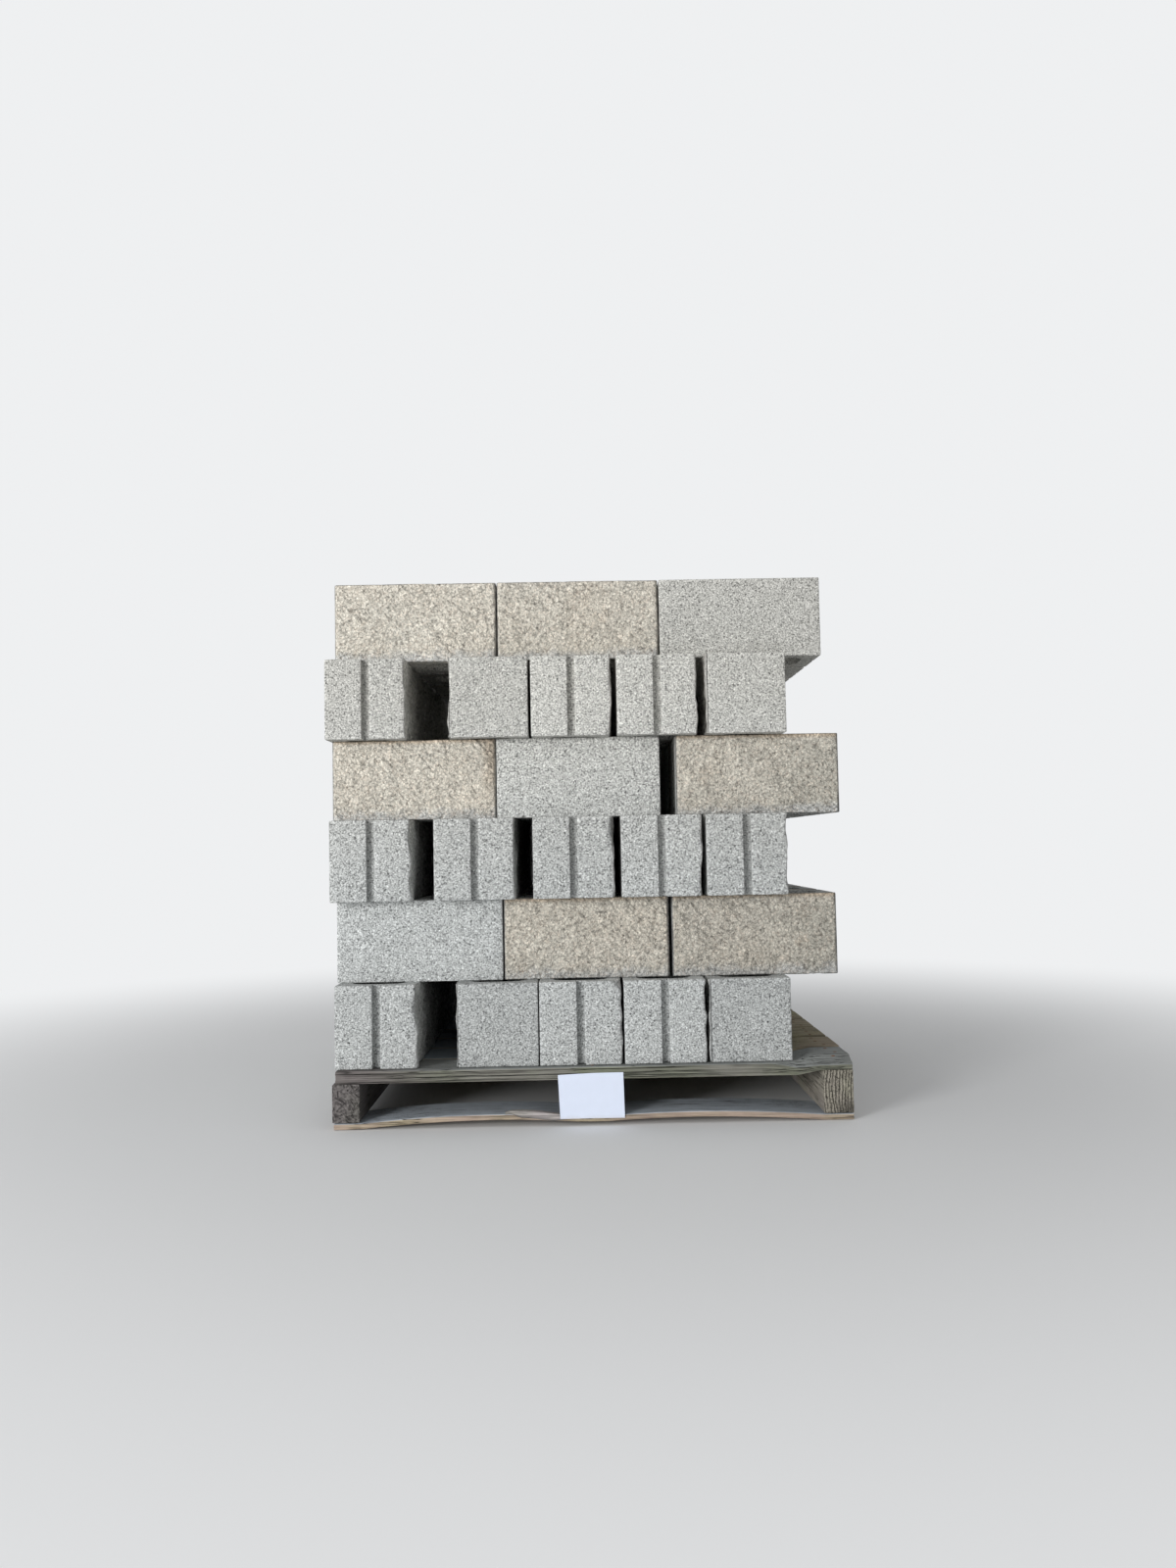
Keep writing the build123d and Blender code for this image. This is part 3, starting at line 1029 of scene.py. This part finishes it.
class PALLET_OT_splinter(bpy.types.Operator):
    """Lift a splinter off the front bottom board"""

    bl_idname = "pallet.splinter"
    bl_label = "Lift the Splinter"

    def execute(self, context):
        wood = context.scene.block_pallet.wood
        start, end, depth, height, lift = -0.205, -0.040, 0.018, 0.0160, 0.0072
        proud, slope, grain_depth = 0.0014, 0.0012, 0.0005
        counts = (40, 5, 6)
        front = node_size("bottom_board_front")[0][1]
        points, _, faces = lattice(*(np.linspace(0, 1, count) for count in counts))
        share, inward, upward = points.T
        x = start + (end - start) * share
        taper = (0.28 + 0.72 * smooth(share, 0.0, 0.26)) * (0.35 + 0.65 * smooth(1 - share, 0.0, 0.35))
        board_top = np.interp(x, *edge_curve("bottom_board_front", True))
        top = board_top + lift * (0.55 + 0.45 * smooth(share, 0.0, 0.10)) * smooth(1 - share, 0.05, 0.80)
        rough = ripple(np.stack([x * 6, inward * 0.01, upward * 0.01], 1), (0.05, 0.004, 0.004), 81)
        z = top - (1 - upward) * height * taper + rough * grain_depth
        y = front - proud * smooth(1 - share, 0.0, 0.30) + inward * depth * (0.4 + 0.6 * taper)
        y += (1 - upward) * slope + abs(rough) * 0.0004
        piece = finished("lifted_splinter", np.stack([x, y, z], 1), faces, wood_finish(
            "splinter_grey", wood.splinter_colour, 0, (0.1, -0.30)), "pallet_wood")
        # Painted shadow: the splinter's lower third is darkened through the crack number, where it sits
        # against the board.
        add_numbers(piece.data, "crack", np.clip(1 - upward * 3, 0, 0.7))
        return {"FINISHED"}


def notch_height(node):
    """How far the front foot of a stringer is cut back from below."""
    corners = node_corners(node)
    front = corners[corners[:, 1] < corners[:, 1].min() + MERGE]
    return front[:, 2].min() - corners[:, 2].min()


def stringer(node, wood, material, seed, shape_end):
    """A stringer that runs along Y, with its front end shaped by a rule."""
    steps = (0.0019, 0.022, 0.0021)
    lifted_from, lifted_to = 0.462, 0.468
    low, high = node_size(node)
    lift = notch_height(node)
    straight, sides, faces = worn_box(low, high, steps, wood.rounding)
    points = weather(straight, sides, 1, wood.fibre, seed)
    front = sides[:, 1] < 0
    depth, crack, ridge = shape_end(straight[:, 0] - low[0], straight[:, 2] - low[2], straight, wood)
    points[:, 1] += front * depth
    if lift:
        # Known fault: this lifts the back foot, while the CAD node has its notch at the front foot
        notched = smooth(straight[:, 1], lifted_from, lifted_to)
        points[:, 2] += notched * lift * (high[2] - straight[:, 2]) / (high[2] - low[2])
    piece = finished(node + "_weathered", points, faces, material, "pallet_wood", node)
    add_numbers(piece.data, "crack", crack * front)
    add_numbers(piece.data, "ridge", ridge * front)


def rough_end(x, z, points, wood):
    """A crumbled end with short ragged cracks that run both ways and pits between them."""
    bent = 0.010 * ripple(points, (0.030, 1, 0.030), 66)
    turned = np.stack([x + z + bent, 0 * x, x - z + bent], 1) * math.sqrt(0.5)
    down = ripple(turned, (0.0036, 1, 0.022), 61)
    up = ripple(turned, (0.016, 1, 0.0036), 62)
    pitted = ripple(points, (0.0045, 1, 0.0055), 67)
    crack = np.maximum(np.clip(-down * 2.6 - 0.45, 0, 1), np.clip(-up * 2.4 - 0.75, 0, 1))
    crack = np.maximum(crack * 0.8, np.clip(-pitted * 2.2 - 0.6, 0, 0.7))
    # Painted highlight: the raised parts are lightened through the ridge number.
    ridge = np.clip(down * 0.9 + up * 0.6 + pitted * 0.9, 0, 1) * (1 - crack)
    return 0.0016 + 0.0020 * crack - 0.0010 * ridge, crack * 0.8, ridge


def ridged_end(x, z, points, wood):
    """Upright growth rings that stand proud, and a torn lower corner."""
    torn_x, torn_reach, ring_depth = 0.058, 0.032, 0.0024
    bow = 0.005 * np.sin(z / 0.1 * math.pi) + 0.0035 * ripple(points, (0.014, 1, 0.05), 63)
    bow = bow + 0.0012 * ripple(points, (0.006, 1, 0.012), 68)
    ring = 0.5 + 0.5 * np.cos((x + bow) / wood.ridge_pitch * 2 * math.pi)
    torn = np.clip(1.2 - np.hypot(x - torn_x, z) / torn_reach, 0, 1)
    fibres = 0.5 + 0.5 * ripple(points, (0.0035, 1, 0.010), 64)
    # Painted shade and highlight: the sunk gaps between rings and the torn hollow are darkened through the
    # crack number, and the proud rings are lightened through the ridge number.
    gap = np.clip(1 - ring * 3.2, 0, 1)
    crack = np.clip(gap * 0.72 * (1 - torn) + torn * (1 - fibres) * 1.1, 0, 1)
    return ring_depth * gap + torn * (0.002 + 0.004 * (1 - fibres)), crack, ring * 0.6 * (1 - torn)


def sawn_end(x, z, points, wood):
    """A plain sawn end."""
    return 0.0008 + 0.0006 * ripple(points, (0.01, 1, 0.01), 65), np.zeros(len(x)), np.zeros(len(x))


class PALLET_OT_stringers(bpy.types.Operator):
    """Weather the stringers"""

    bl_idname = "pallet.stringers"
    bl_label = "Weather the Stringers"

    def execute(self, context):
        wood = context.scene.block_pallet.wood
        stringer("stringer_left", wood, wood_finish(
            "left_stringer_brown_grey", wood.left_colour, 1, (-0.56, -0.05)), 71, rough_end)
        stringer("stringer_middle", wood, wood_finish(
            "middle_stringer_brown", wood.left_colour, 1, (0.05, -0.10)), 73, sawn_end)
        stringer("stringer_right", wood, wood_finish(
            "right_stringer_grey", wood.right_colour, 1, (0.90, 0.05), wood.ridge_pitch), 75, ridged_end)
        return {"FINISHED"}


# Nails

def nail_mesh(radius):
    """A nail's head: a low dome on a short rim."""
    sides = 10
    rings = ((1.0, -0.0012), (1.0, 0.0), (0.72, 0.0005))
    around = [2 * math.pi * i / sides for i in range(sides)]
    points = [(radius * share * math.cos(angle), radius * share * math.sin(angle), level)
              for share, level in rings for angle in around]
    faces = []
    for low in range(0, len(points) - sides, sides):
        for i in range(sides):
            after = (i + 1) % sides
            faces.append((low + i, low + after, low + sides + after, low + sides + i))
    faces.append(tuple(range(sides))[::-1])
    faces.append(tuple(range(len(points) - sides, len(points))))
    mesh = bpy.data.meshes.new("nail")
    mesh.from_pydata(points, [], faces)
    return mesh


def nailing_tree():
    """Geometry Nodes: sets a nail on each point, each turned and tilted by a fixed seed."""
    g, given = new_tree("Drive nails", "Nails", {
        "Points": "Geometry", "Nail": "Object", "Tilt": "Float", "Seed": "Int", "Rust": "Material"})
    lean = given["Tilt"]
    lowest = g.triple(lean * -1.0, lean * -1.0, 0.0)
    highest = g.triple(lean, lean, 2 * math.pi)
    drawn = g.node("FunctionNodeRandomValue", {"data_type": "FLOAT_VECTOR"}, {
        0: lowest, 1: highest, "Seed": given["Seed"]})
    rotation = g.node("FunctionNodeEulerToRotation", {}, {0: drawn})
    shape = g.node("GeometryNodeObjectInfo", {}, {"Object": given["Nail"], "As Instance": True}, "Geometry")
    nails = g.node("GeometryNodeInstanceOnPoints", {}, {
        "Points": given["Points"], "Instance": shape, "Rotation": rotation})
    real = g.node("GeometryNodeRealizeInstances", {}, {"Geometry": nails})
    rusted = g.node("GeometryNodeSetMaterial", {}, {"Geometry": real, "Material": given["Rust"]})
    g.node("NodeGroupOutput", {}, {0: rusted})
    return g.tree


class PALLET_OT_nails(bpy.types.Operator):
    """Drive the deck nails where boards cross stringers"""

    bl_idname = "pallet.nails"
    bl_label = "Drive the Nails"

    def execute(self, context):
        wood = context.scene.block_pallet.wood
        sunk, stray_x, stray_y, tilt = 0.0006, 0.012, 0.005, 0.05
        draw = np.random.default_rng(8)
        spots = []
        for node in DECK_BOARDS:
            low, high = node_size(node)
            curve = edge_curve(node, True)
            for beam in ("stringer_left", "stringer_middle", "stringer_right"):
                beam_low, beam_high = node_size(beam)
                for inset in (wood.nail_inset, (high[1] - low[1]) / 2, high[1] - low[1] - wood.nail_inset):
                    x = (beam_low[0] + beam_high[0]) / 2 + draw.uniform(-stray_x, stray_x)
                    y = low[1] + inset + draw.uniform(-stray_y, stray_y)
                    spots.append((x, y, float(np.interp(x, *curve)) - sunk))
        points = bpy.data.meshes.new("nail_points")
        points.from_pydata(spots, [], [])
        carrier = loose_object("nail_points", points)
        nail = loose_object("nail", nail_mesh(wood.nail_head / 2))
        mesh = run_tree(carrier, nailing_tree(), {
            "Nail": nail, "Tilt": tilt, "Seed": 3, "Rust": rust_finish(wood.rust_colour)})
        drop(carrier, nail)
        finished_mesh("deck_nails", mesh, None, "pallet_wood")
        return {"FINISHED"}


class PALLET_OT_card(bpy.types.Operator):
    """Hang the bare card on the lead board"""

    bl_idname = "pallet.card"
    bl_label = "Hang the Card"

    def execute(self, context):
        card = context.scene.block_pallet.card
        steps = (0.005, 1.0, 0.005)
        top_slope, top_bulge = 0.0035, 0.0012
        low, high = node_size("label_card")
        points, _, faces = lattice(*(
            np.linspace(low[i], high[i], max(1, round((high[i] - low[i]) / steps[i])) + 1) for i in range(3)))
        down = (high[2] - points[:, 2]) / (high[2] - low[2])
        right = (points[:, 0] - low[0]) / (high[0] - low[0])
        points[:, 1] -= card.curl * down ** 2 * (0.35 + 0.65 * abs(2 * right - 1) ** 2)
        points[:, 0] += card.skew * down * (1 - 0.6 * right)
        slant = top_slope * (right - 0.5) * (1 - down)
        points[:, 2] += slant + top_bulge * np.sin(right * math.pi) * (1 - down)
        finished("label_card_curled", points, faces, paper_finish(card.colour), "card_paper", "label_card")
        return {"FINISHED"}


# Stage

def seen_only(graph):
    """1 for rays from the camera, off gloss and through glass, and 0 for those that light the object."""
    seen, mirrored, through = (
        graph.node("ShaderNodeLightPath", {}, {}, f"Is {kind} Ray")
        for kind in ("Camera", "Glossy", "Transmission"))
    return graph.limit(seen + mirrored + through)


def floor_finish(stage):
    """A pale floor that fades into the backdrop with distance, for the eye only."""
    fade_start, fade_end = 1.1, 3.6
    f = Finish("pale_floor")
    away = f.vector("LENGTH", f.where, output="Value")
    far = seen_only(f) * f.step(away, fade_start, fade_end)
    near_shader = f.node("ShaderNodeBsdfDiffuse", {}, {"Color": opaque(stage.floor_colour)})
    far_shader = f.node("ShaderNodeEmission", {}, {"Color": opaque(stage.backdrop_colour), "Strength": 1.0})
    both = f.node("ShaderNodeMixShader", {}, {0: far, 1: near_shader, 2: far_shader})
    f.node("ShaderNodeOutputMaterial", {}, {"Surface": both})
    return f.material


def sky(stage):
    """Even light from all round, seen as a pale backdrop."""
    world = bpy.data.worlds.new("studio")
    bpy.context.scene.world = world
    world.use_nodes = True
    world.node_tree.nodes.clear()
    g = Graph(world.node_tree)
    lit = g.node("ShaderNodeBackground", {}, {
        "Color": opaque((1.0, 1.0, 1.0)), "Strength": stage.sky_strength})
    pale = g.node("ShaderNodeBackground", {}, {"Color": opaque(stage.backdrop_colour), "Strength": 1.0})
    both = g.node("ShaderNodeMixShader", {}, {0: seen_only(g), 1: lit, 2: pale})
    g.node("ShaderNodeOutputWorld", {}, {"Surface": both})


def soft_lamp(name, place, target, size, power):
    """A large square lamp that points at a target."""
    data = bpy.data.lights.new(name, "AREA")
    data.size = size
    data.energy = power
    lamp = loose_object(name, data)
    lamp.location = place
    lamp.rotation_euler = (Vector(target) - Vector(place)).to_track_quat("-Z", "Y").to_euler()


class PALLET_OT_stage(bpy.types.Operator):
    """Set the floor, the light and the camera"""

    bl_idname = "pallet.stage"
    bl_label = "Set the Stage"

    def execute(self, context):
        stage = context.scene.block_pallet.stage
        half, drop = 30.0, 0.0005
        lamp_place, lamp_target, lamp_size = (-5.1, -6.35, 1.55), (0.0, -0.5, 0.7), 2.4
        sensor, place = 36.0, (-0.0294, -3.3673, 0.6492)
        yaw, pitch, roll = math.radians(-0.624), math.radians(90 + 2.932), math.radians(-1.067)

        mesh = bpy.data.meshes.new("floor")
        corners = [(-half, -half, 0), (half, -half, 0), (half, half, 0), (-half, half, 0)]
        mesh.from_pydata(corners, [], [(0, 1, 2, 3)])
        mesh.materials.append(floor_finish(stage))
        floor = loose_object("floor", mesh)
        floor.location.z = -drop
        sky(stage)
        soft_lamp("key", lamp_place, lamp_target, lamp_size, stage.key_power)

        data = bpy.data.cameras.new("camera")
        data.sensor_width = sensor
        data.lens = stage.lens
        camera = loose_object("camera", data)
        turn = Matrix.Rotation(yaw, 4, "Z") @ Matrix.Rotation(pitch, 4, "X") @ Matrix.Rotation(roll, 4, "Z")
        camera.matrix_world = Matrix.Translation(place) @ turn
        context.scene.camera = camera
        context.scene.view_settings.view_transform = "Standard"
        return {"FINISHED"}


class PALLET_PT_panel(bpy.types.Panel):
    """The steps and settings of the pallet load."""

    bl_idname = "PALLET_PT_panel"
    bl_label = "Block Pallet"
    bl_space_type = "VIEW_3D"
    bl_region_type = "UI"
    bl_category = "Block Pallet"

    def draw(self, context):
        settings = context.scene.block_pallet
        for operator, group in (
                (PALLET_OT_blocks, settings.blocks), (PALLET_OT_deck, settings.wood),
                (PALLET_OT_bottom, None), (PALLET_OT_splinter, None),
                (PALLET_OT_stringers, None), (PALLET_OT_nails, None),
                (PALLET_OT_card, settings.card), (PALLET_OT_stage, settings.stage)):
            self.layout.operator(operator.bl_idname)
            if group is not None:
                for name in group.__annotations__:
                    self.layout.prop(group, name)


CLASSES = (
    BlockSettings, WoodSettings, CardSettings, StageSettings, PalletSettings,
    PALLET_OT_blocks, PALLET_OT_deck, PALLET_OT_bottom, PALLET_OT_splinter, PALLET_OT_stringers,
    PALLET_OT_nails, PALLET_OT_card, PALLET_OT_stage, PALLET_PT_panel)


def register():
    """Adds the classes and the settings to Blender."""
    for made in CLASSES:
        bpy.utils.register_class(made)
    bpy.types.Scene.block_pallet = PointerProperty(type=PalletSettings)


def unregister():
    """Takes the classes and the settings out again."""
    del bpy.types.Scene.block_pallet
    for made in reversed(CLASSES):
        bpy.utils.unregister_class(made)


def main():
    """Makes every piece in order."""
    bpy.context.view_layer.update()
    register()
    bpy.ops.pallet.stage()
    bpy.ops.pallet.blocks()
    bpy.ops.pallet.deck()
    bpy.ops.pallet.bottom()
    bpy.ops.pallet.splinter()
    bpy.ops.pallet.stringers()
    bpy.ops.pallet.nails()
    bpy.ops.pallet.card()


if __name__ == "__main__":
    main()
